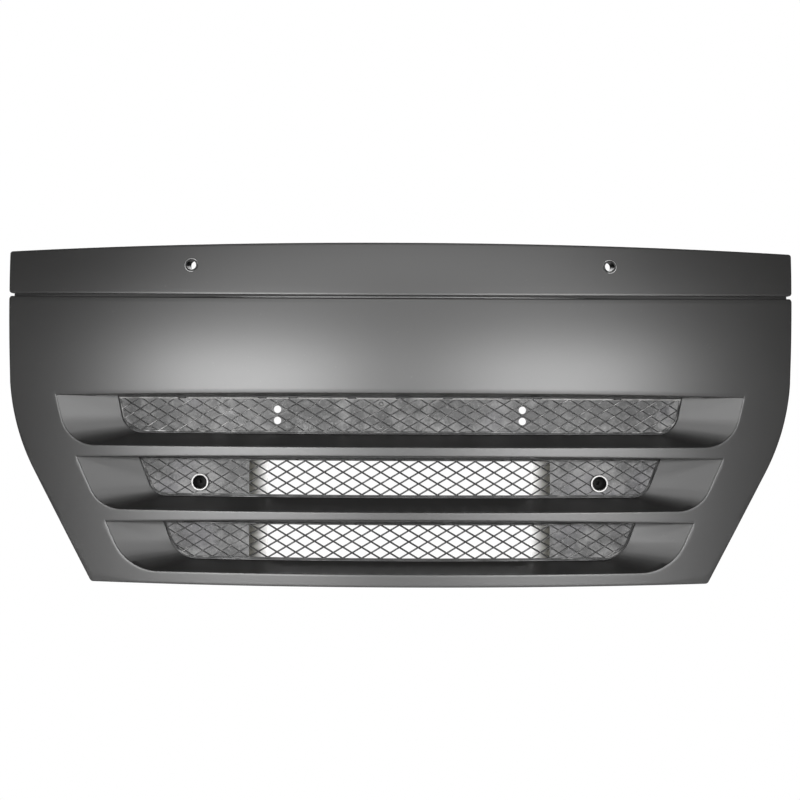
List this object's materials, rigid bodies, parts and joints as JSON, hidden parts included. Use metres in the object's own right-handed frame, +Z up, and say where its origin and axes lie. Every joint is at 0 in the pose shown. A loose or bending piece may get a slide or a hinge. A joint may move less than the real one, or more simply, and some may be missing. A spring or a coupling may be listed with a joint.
{
  "type": "front grille",
  "caption": "Lorry cab front grille flap: bowed panel with an upper strip, three tapering slots with lozenge-mesh inserts, top hinges and key locks behind.",
  "frame": {"origin": "centre of the four cab bolts of the hinge brackets, on the face that meets the cab", "axes": "+X across the cab (to the right seen from the front), +Y back into the cab, +Z up"},
  "size_m": [1.642, 0.2442, 0.686],
  "materials": {
    "panel_primer": "satin dark grey primer",
    "insert_plastic": "moulded, dusty",
    "seal_foam": "closed-cell foam",
    "zinc_screws": "zinc plated",
    "spring_steel": "phosphated",
    "collar_metal": "turned, grey",
    "guide_plastic": "moulded, pale rim",
    "rail_paint": "black dip coat",
    "buffer_rubber": "moulded",
    "lock_zinc": "zinc plated",
    "cam_steel": "pressed, zinc plated",
    "bush_bronze": "sintered",
    "pin_steel": "ground"
  },
  "bodies": {
    "cab_side": {"hinge_bracket_left": "rail_paint", "hinge_bracket_right": "rail_paint", "hinge_pin_left": "pin_steel", "hinge_pin_right": "pin_steel", "pin_clip_left": "spring_steel", "pin_clip_right": "spring_steel"},
    "flap": {"main_panel": "panel_primer", "upper_strip": "panel_primer", "joint_seal": "seal_foam", "strip_screws": "zinc_screws", "strip_collar_left": "collar_metal", "strip_collar_right": "collar_metal", "grille_insert_top": "insert_plastic", "grille_insert_middle": "insert_plastic", "grille_insert_bottom": "insert_plastic", "insert_clips_top": "spring_steel", "insert_clips_middle": "spring_steel", "insert_clips_bottom": "spring_steel", "insert_screws_top": "zinc_screws", "insert_screws_middle": "zinc_screws", "insert_screws_bottom": "zinc_screws", "key_guide_left": "guide_plastic", "key_guide_right": "guide_plastic", "side_rail_left": "rail_paint", "side_rail_right": "rail_paint", "rail_screws_left": "zinc_screws", "rail_screws_right": "zinc_screws", "top_rail": "rail_paint", "top_rail_bolts": "zinc_screws", "bump_stop_left": "buffer_rubber", "bump_stop_right": "buffer_rubber", "lock_housing_left": "lock_zinc", "lock_housing_right": "lock_zinc", "lock_clamp_nut_left": "lock_zinc", "lock_clamp_nut_right": "lock_zinc", "hinge_arm_left": "rail_paint", "hinge_arm_right": "rail_paint", "arm_bolts_left": "zinc_screws", "arm_bolts_right": "zinc_screws", "hinge_bush_left": "bush_bronze", "hinge_bush_right": "bush_bronze"},
    "lock_rotor_left": {"lock_spindle_left": "lock_zinc", "lock_cam_left": "cam_steel", "lock_cam_nut_left": "lock_zinc"},
    "lock_rotor_right": {"lock_spindle_right": "lock_zinc", "lock_cam_right": "cam_steel", "lock_cam_nut_right": "lock_zinc"}
  },
  "joints": [
    {"name": "flap_hinge", "type": "hinge", "parent": "cab_side", "child": "flap", "pos_m": [0, -0.07, 0], "axis": [-1, 0, 0], "range_deg": [0, 75]},
    {"name": "lock_turn_left", "type": "hinge", "parent": "flap", "child": "lock_rotor_left", "pos_m": [-0.405, -0.04, -0.418], "axis": [0, -1, 0], "range_deg": [0, 90]},
    {"name": "lock_turn_right", "type": "hinge", "parent": "flap", "child": "lock_rotor_right", "pos_m": [0.405, -0.04, -0.418], "axis": [0, 1, 0], "range_deg": [0, 90]}
  ]
}
